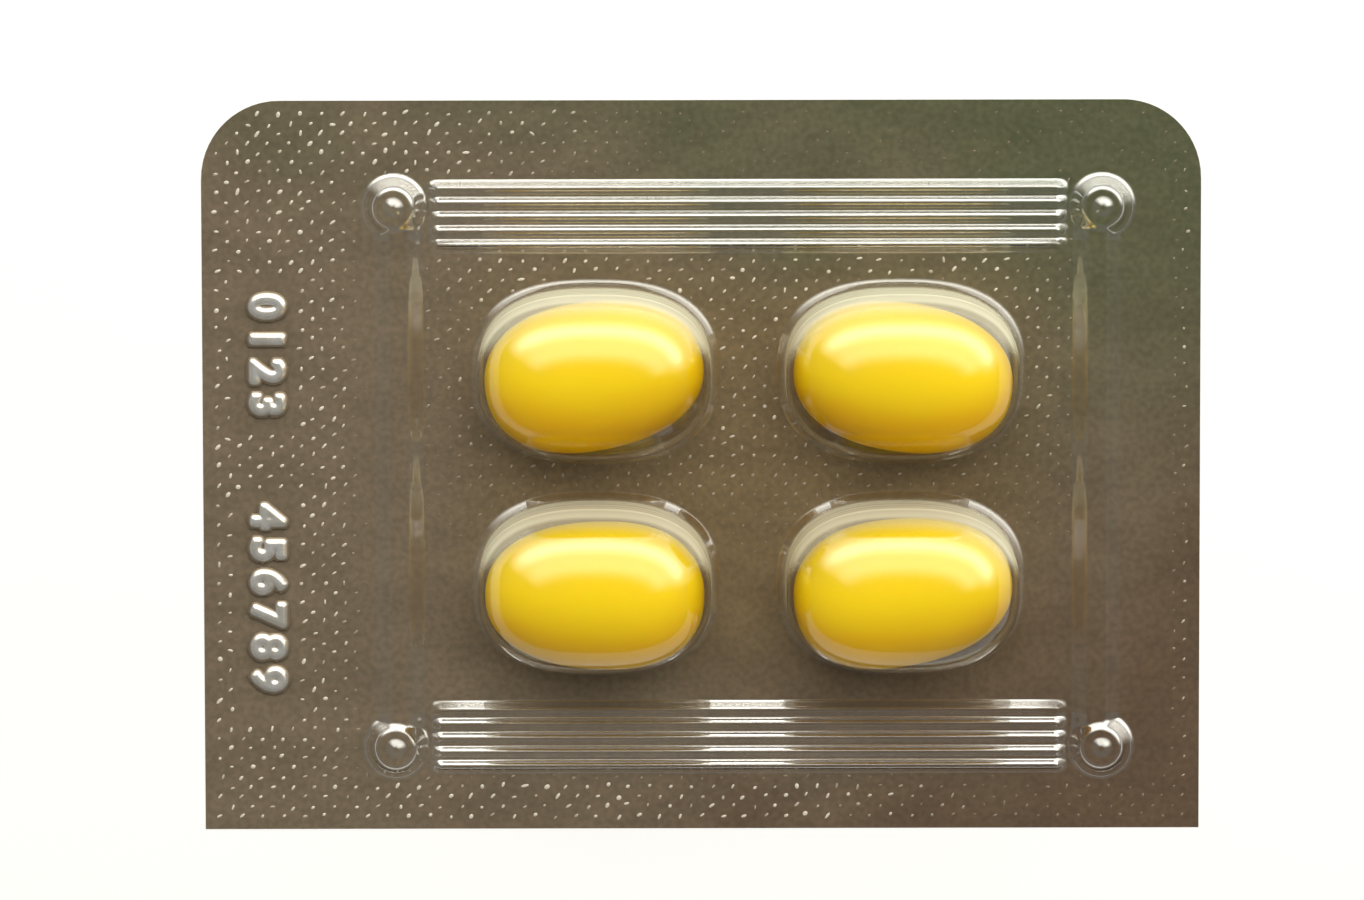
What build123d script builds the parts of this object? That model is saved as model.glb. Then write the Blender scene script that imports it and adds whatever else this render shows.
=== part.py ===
from build123d import *
from math import atan2, degrees
import os

# Pill blister pack: a clear thermoformed film with four pockets, sealed over lidding foil, with one
# oval softgel capsule lying in each pocket.
# Millimetres. The pack lies foil down, +Z up. The origin is on the underside of the foil, at the
# middle of the card. X runs along the card's long side, and +Y points at its two rounded corners.

# Card outline: two rounded corners along the top edge, two square ones where it was cut off the web
card_length = 60.0
card_width = 44.0
card_corner_radius = 4.7

# Sheet gauges
foil_thickness = 0.05
film_thickness = 0.20

# Middle of the formed area, measured from the middle of the card: the left margin stays wide
# for the embossed batch number
formed_middle_x = 2.8
formed_middle_y = -0.7

# Softgel capsules: an oval outline, of a shallow arc along each side and a tighter one at each end,
# cut from several views round the long axis
capsule_length = 13.1
capsule_diameter = 8.8
capsule_end_radius = 3.1
capsule_views = 4

# Free play round a capsule in its pocket
capsule_end_play = 0.20
capsule_side_play = 0.40
capsule_crown_play = 0.35
capsule_seat_gap = 0.05

# Pockets: outside sizes that follow the capsules, with the height measured from the foil
pocket_columns = 2
pocket_rows = 2
pocket_pitch_x = 18.4
pocket_pitch_y = 12.8
pocket_length = capsule_length + 2 * (capsule_end_play + film_thickness)
pocket_width = capsule_diameter + 2 * (capsule_side_play + film_thickness)
pocket_height = capsule_seat_gap + capsule_diameter + capsule_crown_play + film_thickness
pocket_corner_radius = 4.2
pocket_end_radius = 4.5
pocket_foot = 0.5

# Fluted bars above and below the pockets, with the height of the flute centres above the foil
bar_spacing = 31.45
flute_count = 5
flute_pitch = 0.85
flute_radius = 0.46
flute_rise = 0.34

# Smooth channels left and right of the pockets
channel_spacing = 41.9
channel_width = 3.0
channel_height = 0.95
channel_edge_radius = 0.50

# Round bosses on the corners of the frame, each with a small pip
boss_spacing_x = 42.5
boss_spacing_y = 32.6
boss_radius = 2.0
boss_height = 1.35
boss_wall_height = 0.60
pip_radius = 0.60
pip_height = 0.20

# How each capsule happens to lie: its turn in degrees, the share of its length at which it is
# thickest, and the share of the free play by which it has slid along Y
capsule_lies = {
    "capsule_upper_left": {"column": 0, "row": 1, "turn": 9, "thickest_share": 0.46, "slide_share": 0.30},
    "capsule_upper_right": {"column": 1, "row": 1, "turn": -9, "thickest_share": 0.50, "slide_share": -0.15},
    "capsule_lower_left": {"column": 0, "row": 0, "turn": -1, "thickest_share": 0.57, "slide_share": -0.70},
    "capsule_lower_right": {"column": 1, "row": 0, "turn": 8, "thickest_share": 0.43, "slide_share": -0.05},
}

foil_top = foil_thickness
flange_top = foil_top + film_thickness
frame_plane = Plane.XY.offset(foil_top)
formed_middle = Location((formed_middle_x, formed_middle_y, 0))


def card_plate(bottom, thickness):
    """A flat sheet with the card's outline."""
    with BuildPart() as plate:
        with BuildSketch(Plane.XY.offset(bottom)) as outline:
            Rectangle(card_length, card_width)
            fillet(outline.vertices().group_by(Axis.Y)[-1], card_corner_radius)
        extrude(amount=thickness)
    return plate.part


def pocket_place(column, row):
    """The middle of one pocket, on the foil's underside plane."""
    across = (column - (pocket_columns - 1) / 2) * pocket_pitch_x
    along = (row - (pocket_rows - 1) / 2) * pocket_pitch_y
    return Location((formed_middle_x + across, formed_middle_y + along, 0))


def pocket_form(inset):
    """A pocket as a solid: upright walls on a rounded plan, closed by a half-round vault whose two
    ends are rounded down. Every face moves in by the inset, so that two forms leave an even wall."""
    length = pocket_length - 2 * inset
    width = pocket_width - 2 * inset
    top = foil_top + pocket_height - inset
    with BuildPart() as form:
        with BuildSketch(frame_plane):
            RectangleRounded(length, width, pocket_corner_radius - inset)
        extrude(amount=top - foil_top)
        with BuildSketch(Plane.YZ):
            with BuildLine():
                Line((-width / 2, top - width / 2), (-width / 2, 0))
                Line((-width / 2, 0), (width / 2, 0))
                Line((width / 2, 0), (width / 2, top - width / 2))
                CenterArc((0, top - width / 2), width / 2, 0, 180)
            make_face()
        extrude(amount=length, both=True, mode=Mode.INTERSECT)
        with BuildSketch(Plane.XZ) as side:
            with Locations((0, top / 2)):
                Rectangle(length, top)
            fillet(side.vertices().group_by(Axis.Y)[-1], pocket_end_radius - inset)
        extrude(amount=width, both=True, mode=Mode.INTERSECT)
    return form.part


def bar_form(inset):
    """One fluted bar: round ribs side by side on a low base, run along X between the bosses."""
    bar_length = boss_spacing_x - boss_radius - 2 * inset
    base_width = (flute_count - 1) * flute_pitch + 2 * flute_radius
    with BuildPart() as form:
        with BuildSketch(Plane.YZ) as profile:
            with Locations((0, foil_top + flute_rise)):
                with GridLocations(flute_pitch, flute_pitch, flute_count, 1):
                    Circle(flute_radius)
            with Locations((0, foil_top + (flute_rise - film_thickness) / 2)):
                Rectangle(base_width, flute_rise + film_thickness)
            if inset:
                offset(amount=-inset)
            with Locations((0, foil_top - base_width / 2)):
                Rectangle(2 * base_width, base_width, mode=Mode.SUBTRACT)
        extrude(amount=bar_length / 2, both=True)
    return form.part


def channel_form(inset):
    """One smooth side channel with rounded shoulders, run along Y between two bosses."""
    width = channel_width - 2 * inset
    height = channel_height - inset
    with BuildPart() as form:
        with BuildSketch(Plane.XZ) as profile:
            with Locations((0, foil_top + height / 2)):
                Rectangle(width, height)
            fillet(profile.vertices().group_by(Axis.Y)[-1], channel_edge_radius - inset)
        extrude(amount=boss_spacing_y / 2, both=True)
    return form.part


def boss_form(inset):
    """One corner boss: a low round drum closed by two crossing vaults."""
    radius = boss_radius - inset
    crown = foil_top + boss_height - inset
    eaves = foil_top + boss_wall_height - inset
    with BuildPart() as form:
        with BuildSketch(frame_plane):
            Circle(radius)
        extrude(amount=crown - foil_top)
        for section in (Plane.YZ, Plane.XZ):
            with BuildSketch(section):
                with BuildLine():
                    vault = ThreePointArc((-radius, eaves), (0, crown), (radius, eaves))
                    Polyline(vault @ 1, (radius, 0), (-radius, 0), vault @ 0)
                make_face()
            extrude(amount=radius, both=True, mode=Mode.INTERSECT)
    return form.part


def pip_form():
    """The small solid nub in the middle of a boss, from inside the boss's crown upwards."""
    with BuildPart() as form:
        with BuildSketch(Plane.XY.offset(foil_top + boss_height - film_thickness / 2)):
            Circle(pip_radius)
        extrude(amount=pip_height + film_thickness / 2)
    return form.part


def capsule_outline(thickest_share):
    """The oval outline of a lying capsule. Its two ends differ in length, as its thickest place
    isn't in the middle. Each side arc is tangent to the end arc that it meets."""
    radius = capsule_diameter / 2
    fall = radius - capsule_end_radius
    with BuildSketch() as outline:
        with BuildLine():
            for side, end_share in ((1, 1 - thickest_share), (-1, thickest_share)):
                reach = capsule_length * end_share - capsule_end_radius
                depth = (reach**2 - fall**2) / (2 * fall)
                turn = degrees(atan2(reach, depth))
                flank = JernArc((0, radius), (side, 0), radius + depth, -side * turn)
                JernArc(flank @ 1, flank % 1, capsule_end_radius, -side * (90 - turn))
            mirror(about=Plane.XZ)
        make_face()
    return outline.sketch


def capsule_form(thickest_share):
    """A softgel lying along X: a round bar, cut to the same oval from views spread round its axis."""
    oval = capsule_outline(thickest_share)
    with BuildPart() as form:
        with BuildSketch(Plane.YZ):
            Circle(capsule_diameter / 2)
        extrude(amount=capsule_length, both=True)
        for view in range(capsule_views):
            with BuildSketch(Plane.XY.rotated((view * 180 / capsule_views, 0, 0))):
                add(oval)
            extrude(amount=capsule_diameter, both=True, mode=Mode.INTERSECT)
    return form.part


# Lidding foil: one flat sheet under the whole card
foil_sheet = card_plate(0, foil_thickness)
with BuildPart() as lidding_foil:
    add(foil_sheet)
lidding_foil.part.label = "lidding_foil"

# Clear film: the flange sheet with its outer forms raised from it, then hollowed from below
pocket_places = [pocket_place(c, r) for c in range(pocket_columns) for r in range(pocket_rows)]
bar_places = [formed_middle * Location((0, side * bar_spacing / 2, 0)) for side in (-1, 1)]
channel_places = [formed_middle * Location((side * channel_spacing / 2, 0, 0)) for side in (-1, 1)]
boss_places = [
    formed_middle * Location((x * boss_spacing_x / 2, y * boss_spacing_y / 2, 0))
    for x in (-1, 1)
    for y in (-1, 1)
]
flange = card_plate(foil_top, film_thickness)
outer_pocket, inner_pocket = pocket_form(0), pocket_form(film_thickness)
outer_bar, inner_bar = bar_form(0), bar_form(film_thickness)
outer_channel, inner_channel = channel_form(0), channel_form(film_thickness)
outer_boss, inner_boss = boss_form(0), boss_form(film_thickness)
pip = pip_form()

with BuildPart() as blister_film:
    add(flange)
    with Locations(*pocket_places):
        add(outer_pocket)
    deck = blister_film.faces().filter_by(Plane.XY).sort_by(Axis.Z)[1]
    chamfer([edge for wire in deck.inner_wires() for edge in wire.edges()], pocket_foot)
    with Locations(*channel_places):
        add(outer_channel)
    with Locations(*bar_places):
        add(outer_bar)
    with Locations(*boss_places):
        add(outer_boss)
        add(pip)
    with Locations(*pocket_places):
        add(inner_pocket, mode=Mode.SUBTRACT)
    with Locations(*channel_places):
        add(inner_channel, mode=Mode.SUBTRACT)
    with Locations(*bar_places):
        add(inner_bar, mode=Mode.SUBTRACT)
    with Locations(*boss_places):
        add(inner_boss, mode=Mode.SUBTRACT)
blister_film.part.label = "blister_film"

# Capsules: one in each pocket, resting on the foil
capsules = {}
capsule_height = foil_top + capsule_seat_gap + capsule_diameter / 2
for name, lie in capsule_lies.items():
    slide = Location((0, lie["slide_share"] * capsule_side_play, capsule_height))
    place = pocket_place(lie["column"], lie["row"]) * slide * Rotation(0, 0, lie["turn"])
    capsule = capsule_form(lie["thickest_share"])
    with BuildPart() as softgel:
        with Locations(place):
            with Locations((capsule_length * (lie["thickest_share"] - 1 / 2), 0, 0)):
                add(capsule)
    softgel.part.label = name
    capsules[name] = softgel.part

os.makedirs("parts", exist_ok=True)
export_step(lidding_foil.part, "parts/lidding_foil.step")
export_step(blister_film.part, "parts/blister_film.step")
for name, solid in capsules.items():
    export_step(solid, f"parts/{name}.step")
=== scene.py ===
import math
import random

import bmesh
import bpy
from mathutils import Matrix, Vector
from mathutils.bvhtree import BVHTree


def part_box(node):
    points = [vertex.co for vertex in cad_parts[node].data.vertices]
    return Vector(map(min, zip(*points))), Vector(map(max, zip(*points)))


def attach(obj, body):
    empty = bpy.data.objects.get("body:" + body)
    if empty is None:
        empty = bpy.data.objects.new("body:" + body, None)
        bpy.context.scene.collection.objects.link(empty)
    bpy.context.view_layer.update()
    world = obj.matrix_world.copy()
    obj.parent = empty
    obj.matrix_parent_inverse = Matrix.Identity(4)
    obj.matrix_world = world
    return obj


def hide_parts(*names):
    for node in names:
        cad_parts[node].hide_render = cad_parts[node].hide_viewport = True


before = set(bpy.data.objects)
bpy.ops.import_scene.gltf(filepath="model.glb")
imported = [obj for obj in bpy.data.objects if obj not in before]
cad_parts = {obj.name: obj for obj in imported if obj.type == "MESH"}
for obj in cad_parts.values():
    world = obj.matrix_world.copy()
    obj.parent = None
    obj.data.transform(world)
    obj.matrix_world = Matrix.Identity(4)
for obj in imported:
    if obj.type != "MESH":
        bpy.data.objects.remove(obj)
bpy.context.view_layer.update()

mm = 0.001


# Lidding foil
# A hard aluminium foil under the whole card, dark and satin under its heat-seal lacquer. The lacquer
# bonds it to the film, and both were cut out together, with two rounded and two square corners.

card_length = 60.0 * mm
card_width = 44.0 * mm
card_corner_radius = 4.7 * mm
foil_thickness = 0.05 * mm
foil_grid_step = 0.6 * mm
seal_gap = 0.008 * mm
formed_middle = Vector((2.8, -0.7, 0)) * mm
crisp_turn = math.radians(55)

foil_taupe = (0.232, 0.178, 0.118)
foil_olive = (0.128, 0.134, 0.070)
foil_brown = (0.160, 0.104, 0.064)
# The amber tone is painted bounce light from the yellow capsules, laid round the pockets.
foil_painted_bounce = (0.245, 0.172, 0.082)
olive_lean = Vector((14, 26, 0))
brown_lean = Vector((18, -24, 0))
painted_bounce_reach = Vector((21, 15, 0)) * mm
painted_bounce_share = 0.8
foil_dent = 0.01 * mm


class Wire:
    """A node's output, so that shader maths reads as plain expressions."""

    def __init__(self, finish, socket):
        self.finish = finish
        self.socket = socket

    def beside(self, output):
        """Another output of the same node."""
        return Wire(self.finish, self.socket.node.outputs[output])

    def maths(self, operation, *values):
        return self.finish.node("Math", {"operation": operation}, dict(enumerate(values)))

    def __add__(self, other):
        return self.maths("ADD", self, other)

    def __sub__(self, other):
        return self.maths("SUBTRACT", self, other)

    def __mul__(self, other):
        return self.maths("MULTIPLY", self, other)

    def __truediv__(self, other):
        return self.maths("DIVIDE", self, other)

    def __rsub__(self, other):
        return self.maths("SUBTRACT", other, self)

    def __rtruediv__(self, other):
        return self.maths("DIVIDE", other, self)

    __radd__ = __add__
    __rmul__ = __mul__

    def most(self, other):
        return self.maths("MAXIMUM", self, other)

    def root(self):
        return self.maths("SQRT", self)

    def __abs__(self):
        return self.maths("ABSOLUTE", self)

    def ramp(self, low, high, to_low=0.0, to_high=1.0):
        """Runs smoothly from to_low to to_high as this value goes from low to high."""
        sockets = {"Value": self, "From Min": low, "From Max": high, "To Min": to_low, "To Max": to_high}
        return self.finish.node("MapRange", {"interpolation_type": "SMOOTHSTEP"}, sockets)


class Finish:
    """A material, or the room's light, made of nodes."""

    def __init__(self, name, family="materials"):
        self.owner = getattr(bpy.data, family).new(name)
        self.owner.use_nodes = True
        self.tree = self.owner.node_tree
        self.tree.nodes.clear()

    def node(self, kind, settings=None, sockets=None, output=0):
        """Adds a node of any type, with its settings first, and the values or links of its sockets."""
        made = self.tree.nodes.new("ShaderNode" + kind)
        for name, value in (settings or {}).items():
            setattr(made, name, value)
        for name, value in (sockets or {}).items():
            if isinstance(value, Wire):
                self.tree.links.new(value.socket, made.inputs[name])
            else:
                made.inputs[name].default_value = value
        return Wire(self, made.outputs[output]) if output is not None else None

    def place(self):
        return self.node("TexCoord", output="Object")

    def axes(self, place):
        """The X, Y and Z of a place."""
        split = self.node("SeparateXYZ", None, {"Vector": place})
        return [split.beside(axis) for axis in "XYZ"]

    def attribute(self, name):
        """A value that the mesh carries at each of its points."""
        return self.node("Attribute", {"attribute_name": name}, output="Fac")

    def rays(self, *kinds):
        """1 for a ray of any of these kinds, and 0 for the others."""
        path = self.node("LightPath")
        found, *others = [path.beside(f"Is {kind} Ray") for kind in kinds]
        for other in others:
            found = found.most(other)
        return found

    def noise(self, scale, detail, stretch=(1, 1, 1)):
        """Soft noise from 0 to 1, with its scale in waves a metre."""
        spot = self.node("Mapping", None, {"Vector": self.place(), "Scale": stretch})
        return self.node("TexNoise", None, {"Vector": spot, "Scale": scale, "Detail": detail})

    def blend(self, share, first, second):
        """The first colour where share is 0 and the second where it is 1."""
        first, second = (tone if isinstance(tone, Wire) else (*tone, 1) for tone in (first, second))
        return self.node("Mix", {"data_type": "RGBA"}, {0: share, 6: first, 7: second}, output=2)

    def bump(self, height, distance, strength):
        return self.node("Bump", None, {"Height": height, "Distance": distance, "Strength": strength})

    def surface(self, shader, kind="OutputMaterial"):
        self.node(kind, None, {"Surface": shader}, None)
        return self.owner


def foil_finish():
    """Satin foil under lacquer, with uneven taupe, olive and brown tones, and an amber tone round the
    pockets that is painted bounce light from the yellow capsules.
    """
    finish = Finish("satin_foil")
    x, y, _ = finish.axes(finish.place())
    drift = finish.noise(90, 3)
    olive = (x * olive_lean.x + y * olive_lean.y + drift).ramp(0.45, 1.35)
    brown = (x * brown_lean.x + y * brown_lean.y + drift).ramp(0.55, 1.45)
    tone = finish.blend(olive, foil_taupe, foil_olive)
    tone = finish.blend(brown, tone, foil_brown)
    # Painted bounce light: an amber tone round the pockets stands in for the light that the yellow capsules
    # throw on the foil.
    framed_x = abs(x - formed_middle.x).ramp(painted_bounce_reach.x, painted_bounce_reach.x / 2)
    framed_y = abs(y - formed_middle.y).ramp(painted_bounce_reach.y, painted_bounce_reach.y / 2)
    tone = finish.blend(framed_x * framed_y * painted_bounce_share, tone, foil_painted_bounce)
    grain = finish.noise(2600, 3).ramp(0.3, 0.7, 0.88, 1.12)
    mottle = finish.noise(420, 3, (0.5, 1, 1)).ramp(0.3, 0.7, 0.92, 1.08)
    tone = finish.node("VectorMath", {"operation": "SCALE"}, {"Vector": tone, "Scale": grain * mottle})
    shader = finish.node("BsdfPrincipled", None, {
        "Base Color": tone,
        "Metallic": 0.35,
        "Roughness": finish.noise(700, 2).ramp(0.2, 0.8, 0.34, 0.46),
        "Normal": finish.bump(finish.noise(1800, 2), foil_dent, 0.3),
    })
    return finish.surface(shader)


def grid_lines(end, *stretches):
    """Places of grid lines up to the end, from (start, step) pairs. Each step holds to the next start."""
    stops = [start for start, _ in stretches[1:]] + [end]
    lines = []
    for (start, step), stop in zip(stretches, stops):
        count = max(1, round((stop - start) / step))
        lines += [start + (stop - start) * i / count for i in range(count)]
    return lines + [end]


def card_grid(x_lines, y_lines):
    """A flat grid as large as the card, with its lines at the given places and its two far corners
    drawn in to rounds."""
    bm = bmesh.new()
    bmesh.ops.create_grid(bm, x_segments=len(x_lines) - 1, y_segments=len(y_lines) - 1, size=1)
    half_length, half_width = card_length / 2, card_width / 2
    for vert in bm.verts:
        column = round((vert.co.x + 1) / 2 * (len(x_lines) - 1))
        row = round((vert.co.y + 1) / 2 * (len(y_lines) - 1))
        x, y = x_lines[column], y_lines[row]
        out = max(abs(x) - half_length + card_corner_radius, 0)
        up = max(y - half_width + card_corner_radius, 0)
        if out and up:
            draw = max(out, up) / math.hypot(out, up)
            x -= math.copysign(out * (1 - draw), x)
            y -= up * (1 - draw)
        vert.co = (x, y, 0)
    return bm


def face_up(bm):
    """Turns the faces of an open sheet so that they point up."""
    bmesh.ops.recalc_face_normals(bm, faces=bm.faces)
    if sum(face.normal.z * face.calc_area() for face in bm.faces) < 0:
        bmesh.ops.reverse_faces(bm, faces=bm.faces)


def finished(bm, name, material):
    """Turns a bmesh into an object at the origin, smooth apart from the edges that turn sharply."""
    mesh = bpy.data.meshes.new(name)
    for face in bm.faces:
        face.smooth = True
    for edge in bm.edges:
        edge.smooth = edge.calc_face_angle(math.pi) < crisp_turn
    bm.to_mesh(mesh)
    bm.free()
    mesh.materials.append(material)
    piece = bpy.data.objects.new(name, mesh)
    bpy.context.collection.objects.link(piece)
    return piece


bm = card_grid(grid_lines(card_length / 2, (-card_length / 2, foil_grid_step)),
               grid_lines(card_width / 2, (-card_width / 2, foil_grid_step)))
bmesh.ops.translate(bm, verts=bm.verts, vec=(0, 0, foil_thickness - seal_gap))
face_up(bm)
bmesh.ops.solidify(bm, geom=bm.faces[:], thickness=foil_thickness - seal_gap)
foil = finished(bm, "lidding_foil_sheet", foil_finish())
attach(foil, "root")
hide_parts("lidding_foil")


# Softgel capsules
# Four oval gelatine shells filled with yellow oil, cast in two halves that meet in a fine seam along
# the length. Each lies loose in its pocket, turned a little and thicker towards one end.

capsule_length = 13.1 * mm
capsule_diameter = 8.8 * mm
capsule_lies = {
    "capsule_upper_left": {"turn": 9, "thickest_share": 0.46},
    "capsule_upper_right": {"turn": -9, "thickest_share": 0.50},
    "capsule_lower_left": {"turn": -1, "thickest_share": 0.57},
    "capsule_lower_right": {"turn": 8, "thickest_share": 0.43},
}
capsule_fullness = 2.25
capsule_round_steps, capsule_length_steps = 96, 64
seam_height = 0.05 * mm
seam_width = 0.28 * mm

# The gold and the yellow are the shaded and the lit ends of a painted light and shade on the capsules.
gelatine_painted_shade_gold = (0.92, 0.51, 0.004)
gelatine_yellow = (1.0, 0.68, 0.010)
gelatine_depth = 1.6 * mm
gelatine_dent = 0.06 * mm


def softgel_finish():
    """Smooth translucent gelatine with painted light and shade: lemon on top and on the side towards the
    window, and gold low down and on the side away from it.
    """
    finish = Finish("yellow_softgel")
    height = finish.axes(finish.place())[2] / capsule_diameter
    streaks = finish.noise(260, 3, (0.35, 1.6, 1.6))
    # Painted light and shade: lighter higher up and towards the window, darker low down and away from it.
    painted_light = (height + streaks * 0.35 + finish.attribute("side") * 0.55).ramp(0.66, 1.16)
    shader = finish.node("BsdfPrincipled", None, {
        "Base Color": finish.blend(painted_light, gelatine_painted_shade_gold, gelatine_yellow),
        "Roughness": 0.42,
        "Specular IOR Level": 0.09,
        "Subsurface Weight": 0.35,
        "Subsurface Radius": (1.0, 0.6, 0.1),
        "Subsurface Scale": gelatine_depth,
        "Normal": finish.bump(finish.noise(380, 2, (0.4, 1, 1)), gelatine_dent, 0.35),
    })
    return finish.surface(shader)


def softgel(thickest_share):
    """An egg-shaped oval lying along X round the origin, with its seam standing proud."""
    bm = bmesh.new()
    bmesh.ops.create_uvsphere(bm, u_segments=capsule_round_steps, v_segments=capsule_length_steps, radius=1)
    bmesh.ops.rotate(bm, verts=bm.verts, matrix=Matrix.Rotation(math.radians(90), 3, "Y"))
    ends = {1: capsule_length * (1 - thickest_share), -1: capsule_length * thickest_share}
    middle = capsule_length * (thickest_share - 0.5)
    for vert in bm.verts:
        end = 1 if vert.co.x > 0 else -1
        along = min(abs(vert.co.x), 1)
        around = math.hypot(vert.co.y, vert.co.z)
        angle = math.atan2(around, along)
        reach = math.cos(angle) ** (2 / capsule_fullness)
        out = capsule_diameter / 2 * math.sin(angle) ** (2 / capsule_fullness)
        unit = Vector((vert.co.y, vert.co.z)).normalized() if around > 1e-6 else Vector((0, 0))
        y, z = unit * out
        seam = seam_height * math.exp(-((z / seam_width) ** 2) * 4) if abs(z) < out else 0
        vert.co = (middle + end * ends[end] * reach, y + math.copysign(seam, y) * unit.x**2, z)
    return bm


gelatine = softgel_finish()
for name, lie in capsule_lies.items():
    low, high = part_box(name)
    spot = (Vector(low) + Vector(high)) / 2
    bm = softgel(lie["thickest_share"])
    bmesh.ops.rotate(bm, verts=bm.verts, matrix=Matrix.Rotation(math.radians(lie["turn"]), 3, "Z"))
    bmesh.ops.translate(bm, verts=bm.verts, vec=spot)
    # side runs from -1 to 1 across each capsule towards the window, and drives its painted light and shade.
    side = bm.verts.layers.float.new("side")
    for vert in bm.verts:
        vert[side] = (vert.co.y - spot.y) / (capsule_diameter / 2)
    capsule = finished(bm, name.replace("capsule", "softgel"), gelatine)
    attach(capsule, "root")
    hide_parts(name)


# Blister film
# One sheet of clear rigid film, heated and drawn over a mould: four deep pockets, a fluted bar above
# and below them, a smooth channel at each side and a domed boss with a pip on each corner.

film_thickness = 0.20 * mm
drawn_loss = 0.6
flange_top = foil_thickness + film_thickness

pocket_pitch = Vector((18.4, 12.8, 0)) * mm
pocket_length = 13.9 * mm
pocket_width = 10.0 * mm
pocket_height = 9.4 * mm
pocket_end_radius = 4.5 * mm
pocket_fullness = 2.55
pocket_foot = 0.5 * mm
pocket_foot_shares = ((1.5, 0), (1.2, 0.01), (1.06, 0.05), (0.92, 0.14), (0.65, 0.38), (0.38, 0.64),
                      (0.18, 0.85), (0.06, 1.05), (0, 1.3))
pocket_rim = 0.5 * mm
pocket_reach = Vector((pocket_length / 2 + pocket_foot + pocket_rim,
                       pocket_width / 2 + pocket_foot + pocket_rim, 0))
pocket_wall_steps = 6
pocket_crown_steps = 20
pocket_round_steps = 96
pocket_weld = 0.002 * mm

bar_spacing = 31.45 * mm
bar_end_over = 0.1 * mm
bar_end_fall = 0.8 * mm
flute_count = 5
flute_pitch = 0.85 * mm
flute_radius = 0.46 * mm
flute_rise = 0.34 * mm
flute_skirt = 0.12 * mm

channel_spacing = 41.9 * mm
channel_width = 3.0 * mm
channel_height = 0.95 * mm
channel_edge = 1.1 * mm
channel_skirt = 0.1 * mm

boss_spacing = Vector((42.5, 32.6, 0)) * mm
boss_radius = 2.0 * mm
boss_height = 1.35 * mm
boss_shoulder = 1.15 * mm
boss_skirt = 0.15 * mm
boss_fall_share = 0.25
pip_radius = 0.75 * mm
pip_height = 0.28 * mm
form_blend = 5

bar_gloss = 1
boss_gloss = 0.9
channel_gloss = 0.30
foot_gloss = 0.30
vault_gloss = 0.18
vault_lean = 0.35
gloss_steepness = (0.02, 0.12)
gloss_top = (1.5 * mm, 2.2 * mm)
window_facing_lean = (-0.2, 0.6)
haze_most = 0.95
painted_highlight_ring = 1.0 * mm
haze_top_near = 3.2 * mm
haze_top_far = 7.6 * mm
haze_fade = 1.4 * mm
film_dent = 0.05 * mm

plain_step = 0.9 * mm
side_step = 0.085 * mm
bar_step = 0.075 * mm
fine_reach_in = 2.9 * mm
fine_reach_out = 2.3 * mm


def smooth_step(low, high, value):
    share = min(max((value - low) / (high - low), 0), 1)
    return share * share * (3 - 2 * share)


def bar_rise(x, y):
    """Height of the fluted bars over the flange."""
    across = abs(abs(y) - bar_spacing / 2)
    half = (flute_count - 1) / 2 * flute_pitch
    crest = flute_rise - film_thickness + flute_radius
    groove = flute_rise - film_thickness + math.sqrt(flute_radius**2 - (flute_pitch / 2) ** 2)
    if across < half:
        wave = math.cos(2 * math.pi * (across - half) / flute_pitch)
        rib = groove + (crest - groove) * (0.5 + 0.5 * wave)
    else:
        fall = min((across - half) / (flute_radius + flute_skirt), 1)
        rib = crest * (0.5 + 0.5 * math.cos(math.pi * fall))
    reach = boss_spacing.x / 2 - boss_radius
    return rib * smooth_step(reach + bar_end_over, reach - bar_end_fall, abs(x))


def channel_rise(x, y):
    """Height of the side channels over the flange."""
    across = abs(abs(x) - channel_spacing / 2)
    wall = smooth_step(channel_width / 2 + channel_skirt, channel_width / 2 - channel_edge, across)
    ends = smooth_step(boss_spacing.y / 2, boss_spacing.y / 2 - boss_radius / 2, abs(y))
    return (channel_height - film_thickness) * wall * ends


def boss_rise(x, y):
    """Height of the corner bosses and their pips over the flange."""
    off = math.hypot(abs(x) - boss_spacing.x / 2, abs(y) - boss_spacing.y / 2)
    dome = (boss_height - film_thickness) * (1 - boss_fall_share * (off / boss_radius) ** 2)
    dome *= smooth_step(boss_radius + boss_skirt, boss_radius + boss_skirt - boss_shoulder, off)
    return dome + pip_height * smooth_step(pip_radius, 0, off)


def forming_rise(x, y):
    """Height of the sheet's top over the flange at one place of the frame, with its forms run together."""
    spot = Vector((x, y, 0)) - formed_middle
    rises = (bar_rise(spot.x, spot.y), channel_rise(spot.x, spot.y), boss_rise(spot.x, spot.y))
    return sum((rise / mm) ** form_blend for rise in rises) ** (1 / form_blend) * mm


def pocket_levels():
    """The pocket's foot and upright wall, from the rim up, as (distance out, height over the flange)
    pairs, and the height at which the vault starts."""
    levels = [(out * pocket_foot, up * pocket_foot) for out, up in pocket_foot_shares]
    eaves = foil_thickness + pocket_height - pocket_width / 2 - flange_top
    foot_top = levels[-1][1]
    steps = range(1, pocket_wall_steps + 1)
    levels += [(0, foot_top + (eaves - foot_top) * step / pocket_wall_steps) for step in steps]
    return levels, eaves


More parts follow.
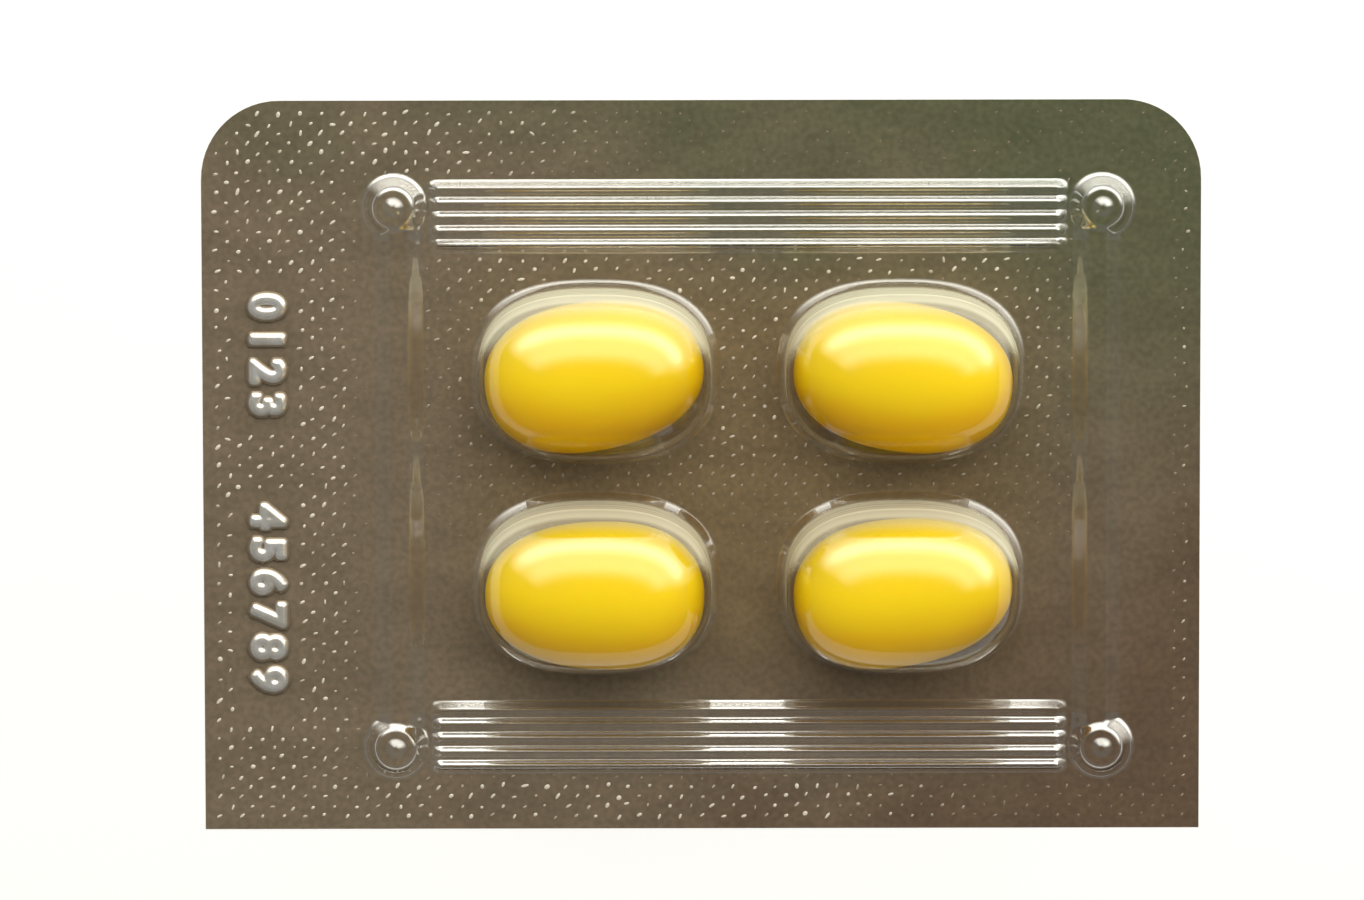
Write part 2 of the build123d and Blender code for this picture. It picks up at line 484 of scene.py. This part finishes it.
def pocket_point(angle, level_share):
    """A point of the pocket's skin round its middle, at an angle and a share of the way to the crown."""
    levels, eaves = pocket_levels()
    step = round(level_share * (len(levels) - 1 + pocket_crown_steps))
    if step < len(levels):
        out, z = levels[step]
        half_length, half_width = pocket_length / 2 + out, pocket_width / 2 + out
    else:
        lean = math.radians(90 * (step - len(levels) + 1) / pocket_crown_steps)
        z = eaves + pocket_width / 2 * math.sin(lean)
        half_width = pocket_width / 2 * math.cos(lean)
        over = max(z - eaves - pocket_width / 2 + pocket_end_radius, 0)
        end_reach = math.sqrt(max(pocket_end_radius**2 - over**2, 0))
        half_length = pocket_length / 2 - pocket_end_radius + end_reach
    power = 2 / pocket_fullness
    x = half_length * math.copysign(abs(math.cos(angle)) ** power, math.cos(angle))
    y = half_width * math.copysign(abs(math.sin(angle)) ** power, math.sin(angle))
    return Vector((x, y, flange_top + z))


def add_pocket(bm, middle):
    """Lets one pocket into the sheet, in place of the faces round its middle."""
    inside = [face for face in bm.faces
              if abs(face.calc_center_median().x - middle.x) < pocket_reach.x
              and abs(face.calc_center_median().y - middle.y) < pocket_reach.y]
    edges = {edge for face in inside for edge in face.edges}
    rim_edges = [edge for edge in edges if sum(face in inside for face in edge.link_faces) == 1]
    bmesh.ops.delete(bm, geom=inside, context="FACES")
    level_steps = len(pocket_levels()[0]) - 1 + pocket_crown_steps
    made = bmesh.ops.create_grid(bm, x_segments=pocket_round_steps, y_segments=level_steps, size=1)["verts"]
    for vert in made:
        vert.co = middle + pocket_point((vert.co.x + 1) * math.pi, (vert.co.y + 1) / 2)
    bmesh.ops.remove_doubles(bm, verts=made, dist=pocket_weld)
    foot_edges = [edge for vert in made if vert.is_valid for edge in vert.link_edges if edge.is_boundary]
    bmesh.ops.triangle_fill(bm, edges=list({*rim_edges, *foot_edges}), use_beauty=True, normal=(0, 0, 1))


def film_gauge(height):
    """The sheet's thickness at a height over the flange: it thins as it is drawn up."""
    return film_thickness * (1 - drawn_loss * smooth_step(0, channel_height, height))


def gloss_haze_and_highlight(spot, normal):
    """How glossy and how hazy the film's outer skin is, each from 0 to 1, at a spot measured from the
    middle of the frame. Steep forms are glossiest. The haze is whitening of the drawn pocket walls, made
    strongest and tallest on the walls that face the window and laid in rings, where it is painted
    highlight."""
    x, y = abs(spot.x), abs(spot.y)
    height, steep = spot.z - flange_top, 1 - normal.z
    in_pocket = (abs(x - pocket_pitch.x / 2) < pocket_reach.x
                 and abs(y - pocket_pitch.y / 2) < pocket_reach.y)
    if in_pocket:
        most = foot_gloss
    elif x > channel_spacing / 2 - channel_width and y < boss_spacing.y / 2 - boss_radius:
        most = channel_gloss
    elif math.hypot(x - boss_spacing.x / 2, y - boss_spacing.y / 2) < boss_radius * 1.2:
        most = boss_gloss
    else:
        most = bar_gloss
    gloss = most * smooth_step(*gloss_steepness, steep) * (1 - smooth_step(*gloss_top, height))
    if not in_pocket:
        return gloss, 0
    # Painted highlight: the haze is stronger and taller on the walls that face the window, and laid in
    # rings of height.
    window_facing = smooth_step(*window_facing_lean, normal.y)
    haze_top = haze_top_near + (haze_top_far - haze_top_near) * window_facing
    painted_highlight_rings = 0.80 + 0.20 * math.cos(2 * math.pi * height / painted_highlight_ring)
    haze_and_highlight = haze_most * (0.5 + 0.5 * window_facing) * painted_highlight_rings * smooth_step(0, 0.1, steep)
    haze_and_highlight *= smooth_step(haze_top + haze_fade, haze_top - haze_fade, height)
    return max(gloss, vault_gloss * smooth_step(0, vault_lean, normal.y)), haze_and_highlight


def film_finish():
    """Clear glossy film that lets lamp light straight through, a little uneven from the forming. It is
    glossier where it was drawn steeply, and hazy where a drawn wall is seen edge on. The pale haze is
    whitening of the film and, where it is laid, partly painted highlight."""
    finish = Finish("clear_film")
    dents = finish.bump(finish.noise(330, 2, (0.3, 1, 1)), film_dent, 0.10)
    glass = finish.node("BsdfPrincipled", None, {
        "Base Color": (0.985, 0.985, 0.965, 1),
        "Roughness": 0.03,
        "IOR": 1.30,
        "Transmission Weight": 1.0,
        "Coat Weight": finish.attribute("gloss"),
        "Coat Roughness": 0.06,
        "Coat IOR": 4.2,
        "Normal": dents,
    })
    # Pale whitening of the drawn film, laid by its attribute as partly painted highlight on the walls
    # facing the window.
    haze_and_highlight = finish.node("BsdfDiffuse", None, {"Color": (0.96, 0.92, 0.68, 1), "Normal": dents})
    edge_on = finish.node("LayerWeight", None, {"Blend": 0.5}, output="Facing").ramp(0.18, 0.75)
    clear = finish.node("MixShader", None, {0: finish.attribute("haze_and_highlight") * edge_on, 1: glass, 2: haze_and_highlight})
    through = finish.node("BsdfTransparent")
    soft = finish.rays("Shadow", "Diffuse")
    return finish.surface(finish.node("MixShader", None, {0: soft, 1: clear, 2: through}))


def pocket_stretches(axis):
    """Grid stretches that start at the edges of the pockets' openings, along X (0) or Y (1)."""
    return [(formed_middle[axis] + side * pocket_pitch[axis] / 2 + edge * pocket_reach[axis], plain_step)
            for side in (-1, 1) for edge in (-1, 1)]


frame_left, frame_right = (formed_middle.x + side * boss_spacing.x / 2 for side in (-1, 1))
frame_low, frame_high = (formed_middle.y + side * boss_spacing.y / 2 for side in (-1, 1))
film_lines_x = grid_lines(card_length / 2,
                          (-card_length / 2, plain_step),
                          (frame_left - fine_reach_out, side_step),
                          (frame_left + fine_reach_in, plain_step),
                          *pocket_stretches(0),
                          (frame_right - fine_reach_in, side_step),
                          (frame_right + fine_reach_out, plain_step / 2))
film_lines_y = grid_lines(card_width / 2,
                          (-card_width / 2, plain_step),
                          (frame_low - fine_reach_out, bar_step),
                          (frame_low + fine_reach_in, plain_step),
                          *pocket_stretches(1),
                          (frame_high - fine_reach_in, bar_step),
                          (frame_high + fine_reach_out, plain_step / 2))

bm = card_grid(film_lines_x, film_lines_y)
for vert in bm.verts:
    vert.co.z = flange_top + forming_rise(vert.co.x, vert.co.y)
for column in (-1, 1):
    for row in (-1, 1):
        add_pocket(bm, formed_middle + Vector((column * pocket_pitch.x, row * pocket_pitch.y, 0)) / 2)
face_up(bm)
bm.normal_update()
gloss = bm.verts.layers.float.new("gloss")
haze_and_highlight = bm.verts.layers.float.new("haze_and_highlight")
for vert in bm.verts:
    vert[gloss], vert[haze_and_highlight] = gloss_haze_and_highlight(vert.co - formed_middle, vert.normal)
under = bmesh.ops.duplicate(bm, geom=bm.faces[:])["geom"]
under_faces = [part for part in under if part.is_valid and isinstance(part, bmesh.types.BMFace)]
for vert in {vert for face in under_faces for vert in face.verts}:
    vert.co -= vert.normal * film_gauge(vert.co.z - flange_top)
    vert[gloss] = 0
bmesh.ops.reverse_faces(bm, faces=under_faces)
bmesh.ops.bridge_loops(bm, edges=[edge for edge in bm.edges if edge.is_boundary])
film = finished(bm, "clear_blister_film", film_finish())
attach(film, "root")
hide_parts("blister_film")


# Sealing points
# A heated knurled plate sealed foil and film together. It left a lattice of small raised points in the
# foil. Their cream colour is a painted glint, and they are larger and brighter towards the card's edges
# and smaller and fainter near the formed frame, at the upper middle and at the lower right, so that the
# painted glints fade where the light catches them less.

knurl_pitch = Vector((1.265, 1.18, 0)) * mm
knurl_radius = 0.125 * mm
knurl_rise = 0.035 * mm
knurl_slant = math.radians(40)
knurl_slant_spread = 0.4
knurl_sides = 7
knurl_stray = 0.06 * mm
knurl_edge_gap = 0.35 * mm
knurl_corner_gap = 0.3 * mm
knurl_least = 0.10
# The cream is a painted glint on the raised points.
knurl_painted_glint = (0.80, 0.73, 0.61)
knurl_dent = 0.01 * mm

frame_reach = Vector((channel_spacing + channel_width, bar_spacing + flute_count * flute_pitch, 0)) / 2
side_fade = 3 * mm
right_side_gap = 2 * mm
right_side_share = 0.75
end_fade = 0.8 * mm
upper_fade = (-18 * mm, 0)
upper_loss = 0.88
lower_fade = (2 * mm, 20 * mm)
lower_loss = 0.75
inner_share = 0.8
inner_rise = (-9 * mm, 7 * mm)
inner_fade = 9 * mm
inner_edge_share = 0.25
digit_clearing_x = (-28.0 * mm, -24.1 * mm)
digit_clearings_y = ((-15.4 * mm, -1.6 * mm), (2.2 * mm, 11.4 * mm))
formed_least = 0.001 * mm


def knurl_finish():
    """Pressed foil with a painted glint: cream where a point is crisp, and close to the plain foil where it
    is faint.
    """
    finish = Finish("pressed_points")
    shader = finish.node("BsdfPrincipled", None, {
        "Base Color": finish.blend(finish.attribute("crisp").ramp(0.1, 1.0), foil_taupe, knurl_painted_glint),
        "Metallic": 0.2,
        "Roughness": 0.35,
        "Normal": finish.bump(finish.noise(6000, 2), knurl_dent, 0.5),
    })
    return finish.surface(shader)


def knurl_strength(x, y):
    """How large and how brightly glinting a point is at one place: 0 for none, 1 for a crisp point."""
    across, along = x - formed_middle.x, y - formed_middle.y
    if forming_rise(x, y) > formed_least:
        return 0
    low, high = digit_clearing_x
    if low < x < high and any(low < y < high for low, high in digit_clearings_y):
        return 0
    side_start = frame_reach.x + (0 if x < 0 else right_side_gap)
    side = smooth_step(side_start, side_start + side_fade, abs(across)) * (1 if x < 0 else right_side_share)
    end = smooth_step(frame_reach.y, frame_reach.y + end_fade, abs(along))
    if y > 0:
        end *= 1 - upper_loss * smooth_step(*upper_fade, x)
    else:
        end *= 1 - lower_loss * smooth_step(*lower_fade, x)
    if abs(across) >= frame_reach.x or abs(along) >= frame_reach.y:
        return max(side, end)
    pocket_x = abs(abs(across) - pocket_pitch.x / 2) / (pocket_length / 2 + pocket_foot)
    pocket_y = abs(abs(along) - pocket_pitch.y / 2) / (pocket_width / 2 + pocket_foot)
    clear_of_pocket = smooth_step(1.0, 1.15, pocket_x**pocket_fullness + pocket_y**pocket_fullness)
    inner = inner_share * clear_of_pocket * smooth_step(*inner_rise, along)
    from_side = smooth_step(frame_reach.x, frame_reach.x - inner_fade, abs(across))
    inner *= inner_edge_share + (1 - inner_edge_share) * from_side
    return max(side, end, inner)


def on_card(x, y):
    """Whether a point has room on the card, clear of its edges and its two rounds."""
    corner = math.hypot(max(abs(x) - card_length / 2 + card_corner_radius, 0),
                        max(y - card_width / 2 + card_corner_radius, 0))
    return (abs(x) < card_length / 2 - knurl_edge_gap and abs(y) < card_width / 2 - knurl_edge_gap
            and corner <= card_corner_radius - knurl_corner_gap)


chance = random.Random(11)
bm = bmesh.new()
crisp = bm.verts.layers.float.new("crisp")
columns, rows = int(card_length / knurl_pitch.x), int(card_width / knurl_pitch.y)
for column in range(-columns, columns + 1):
    for row in range(-rows, rows + 1):
        x, y = column * knurl_pitch.x / 2, row * knurl_pitch.y / 2
        if (column + row) % 2 or not on_card(x, y):
            continue
        strength = knurl_strength(x, y) * chance.uniform(0.5, 1.2)
        size = knurl_radius * (0.55 + 0.5 * strength) * chance.uniform(0.75, 1.2)
        stretch = chance.uniform(1.0, 1.6)
        x += chance.gauss(0, knurl_stray)
        y += chance.gauss(0, knurl_stray)
        if strength < knurl_least:
            continue
        slant = knurl_slant + chance.gauss(0, knurl_slant_spread)
        place = (Matrix.Translation((x, y, foil_thickness - seal_gap + knurl_rise / 2))
                 @ Matrix.Rotation(slant, 4, "Z")
                 @ Matrix.Diagonal((stretch, 0.9 / stretch, 1, 1)))
        made = bmesh.ops.create_cone(bm, cap_ends=True, segments=knurl_sides, radius1=size,
                                     radius2=size * 0.4, depth=knurl_rise, matrix=place)
        for vert in made["verts"]:
            vert[crisp] = strength
points = finished(bm, "sealing_points", knurl_finish())
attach(points, "root")


# Batch digits
# The wide margin takes a number that was stamped through film and foil after sealing. These are plain
# counting digits, pressed up as soft ridges, which read down along the margin.

digit_height = 1.85 * mm
digit_spacing = 1.52
digit_thinning = 0.02 * mm
digit_line = -26.2 * mm
digit_groups = (("0123", 10.3 * mm), ("456789", -2.4 * mm))
digit_rise = 0.25 * mm
digit_slope = 0.37 * mm
digit_grain = 0.085 * mm
digit_least = 0.006 * mm
digit_sink = 0.004 * mm
digit_gauge = 0.04 * mm
# The grey and the white are a painted highlight on the digits' crests.
digit_highlight_grey = (0.84, 0.81, 0.74)
digit_highlight_white = (0.97, 0.96, 0.93)
digit_dent = 0.02 * mm


def digit_finish():
    """Stretched foil with a painted highlight on the crests, grey and white at random, and like the plain
    foil at their feet.
    """
    finish = Finish("stamped_digits")
    crest = finish.attribute("crest").ramp(0.1, 0.6)
    painted_highlight = finish.blend(finish.noise(900, 3).ramp(0.35, 0.7), digit_highlight_grey, digit_highlight_white)
    shader = finish.node("BsdfPrincipled", None, {
        "Base Color": finish.blend(crest, foil_taupe, painted_highlight),
        "Metallic": crest.ramp(0, 1, 0.35, 0.75),
        "Roughness": 0.27,
        "Normal": finish.bump(finish.noise(1400, 2), digit_dent, 0.4),
    })
    return finish.surface(shader)


def add_strokes(strokes, text, start):
    """Adds the flat strokes of some digits, which read down the margin from their start."""
    curve = bpy.data.curves.new("digit_strokes", "FONT")
    curve.body = text
    curve.size = digit_height * 1.4
    curve.space_character = digit_spacing
    curve.offset = -digit_thinning
    curve.align_x = "LEFT"
    curve.align_y = "CENTER"
    outline = bpy.data.objects.new("digit_strokes", curve)
    bpy.context.collection.objects.link(outline)
    mesh = bpy.data.meshes.new_from_object(outline.evaluated_get(bpy.context.evaluated_depsgraph_get()))
    mesh.transform(Matrix.Translation((digit_line, start, 0)) @ Matrix.Rotation(math.radians(-90), 4, "Z"))
    strokes.from_mesh(mesh)
    bpy.data.meshes.remove(mesh)
    bpy.data.objects.remove(outline)
    bpy.data.curves.remove(curve)


strokes = bmesh.new()
for text, start in digit_groups:
    add_strokes(strokes, text, start)
stroke_tree = BVHTree.FromBMesh(strokes)
low = Vector(min(vert.co[i] for vert in strokes.verts) - 2 * digit_slope for i in range(3))
high = Vector(max(vert.co[i] for vert in strokes.verts) + 2 * digit_slope for i in range(3))
span = high - low
strokes.free()

bm = bmesh.new()
columns, rows = round(span.x / digit_grain), round(span.y / digit_grain)
bmesh.ops.create_grid(bm, x_segments=columns, y_segments=rows, size=0.5)
crest = bm.verts.layers.float.new("crest")
for vert in bm.verts:
    x, y = low.x + (vert.co.x + 0.5) * span.x, low.y + (vert.co.y + 0.5) * span.y
    vert[crest] = smooth_step(digit_slope, 0, stroke_tree.find_nearest((x, y, 0))[3])
    vert.co = (x, y, digit_rise * vert[crest])
flat = [face for face in bm.faces if max(vert.co.z for vert in face.verts) < digit_least]
bmesh.ops.delete(bm, geom=flat, context="FACES")
bmesh.ops.translate(bm, verts=bm.verts, vec=(0, 0, flange_top - digit_sink))
face_up(bm)
bmesh.ops.solidify(bm, geom=bm.faces[:], thickness=digit_gauge)
digits = finished(bm, "batch_digits", digit_finish())
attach(digits, "root")


# Floor and light
# A plain white table in a dim pale room, with a soft lamp above and behind the card's rounded edge and a
# broad window low behind it.

floor_reach = 0.6
floor_white = (0.92, 0.92, 0.92, 1)
floor_glow = 0.16
floor_glow_far = 0.45
floor_near, floor_far = 0.06, 0.45

key_place = Vector((0.05, 0.22, 0.50))
key_length, key_width = 0.50, 0.30
key_power = 2.5
key_tint = (1.0, 0.99, 0.96)

room_tint = (1.0, 0.98, 0.89, 1)
room_level = 0.16
window_bearing = Vector((0.28, 0.96, 0))
window_high = 2.0
window_low = 3.2
window_lit_share = 0.25


def floor_finish():
    """A white table that keeps the card's shadow. It looks as white far off as it does near the card."""
    finish = Finish("white_table")
    x, y, _ = finish.axes(finish.place())
    far = (x * x + y * y).root().ramp(floor_near, floor_far)
    matt = finish.node("BsdfDiffuse", None, {"Color": floor_white})
    seen = finish.rays("Camera", "Glossy", "Transmission")
    paleness = finish.blend(far * seen, [floor_glow] * 3, [floor_glow_far] * 3)
    glow = finish.node("Emission", None, {"Color": paleness, "Strength": 1})
    return finish.surface(finish.node("AddShader", None, {0: matt, 1: glow}))


def room_light():
    """A dim pale room with one broad window, low behind the card's rounded edge. Gloss and glass show the
    window itself, which is brighter than the light that it gives."""
    room = Finish("pale_room", "worlds")
    x, y, z = room.axes(room.node("TexCoord", output="Generated"))
    flat = (x * x + y * y).most(0.0001)
    across = (window_bearing.x * x + window_bearing.y * y) / flat.root()
    pane = window_high * z.ramp(0.97, 0.76) + window_low * z.ramp(0.62, 0.30)
    window = across.ramp(0.20, 0.80) * pane * z.ramp(0.0, 0.36, 0.28, 1.0)
    shown = window_lit_share + (1 - window_lit_share) * room.rays("Glossy", "Transmission")
    light = room.node("Background", None, {"Color": room_tint, "Strength": room_level + window * shown})
    return room.surface(light, "OutputWorld")


bm = bmesh.new()
bmesh.ops.create_grid(bm, x_segments=1, y_segments=1, size=floor_reach)
floor = finished(bm, "table", floor_finish())

key = bpy.data.lights.new("key_softbox", "AREA")
key.shape = "RECTANGLE"
key.size, key.size_y = key_length, key_width
key.energy = key_power
key.color = key_tint
key_holder = bpy.data.objects.new("key_softbox", key)
key_holder.location = key_place
key_holder.rotation_euler = (-key_place).to_track_quat("-Z", "Y").to_euler()
key_holder.visible_glossy = False
key_holder.visible_transmission = False
bpy.context.collection.objects.link(key_holder)

bpy.context.scene.world = room_light()
bpy.context.scene.view_settings.view_transform = "Standard"


# Camera
# It stands almost straight above the card, a little towards the rounded edge.

view_distance = 0.45
view_tilt = math.radians(5.0)
view_roll = math.radians(-0.11)
view_width = 82.08 * mm
view_aim = Vector((-1.172, 0.949, 0.25)) * mm
sensor_width = 36
clip_start = 0.01

camera = bpy.data.cameras.new("camera")
camera.sensor_width = sensor_width
camera.lens = sensor_width * view_distance / view_width
camera.clip_start = clip_start
camera_holder = bpy.data.objects.new("camera", camera)
back = Vector((0, math.sin(view_tilt), math.cos(view_tilt)))
camera_holder.location = view_aim + back * view_distance
upright = Matrix.Rotation(-view_tilt, 4, "X")
camera_holder.rotation_euler = (upright @ Matrix.Rotation(view_roll, 4, "Z")).to_euler()
bpy.context.collection.objects.link(camera_holder)
bpy.context.scene.camera = camera_holder
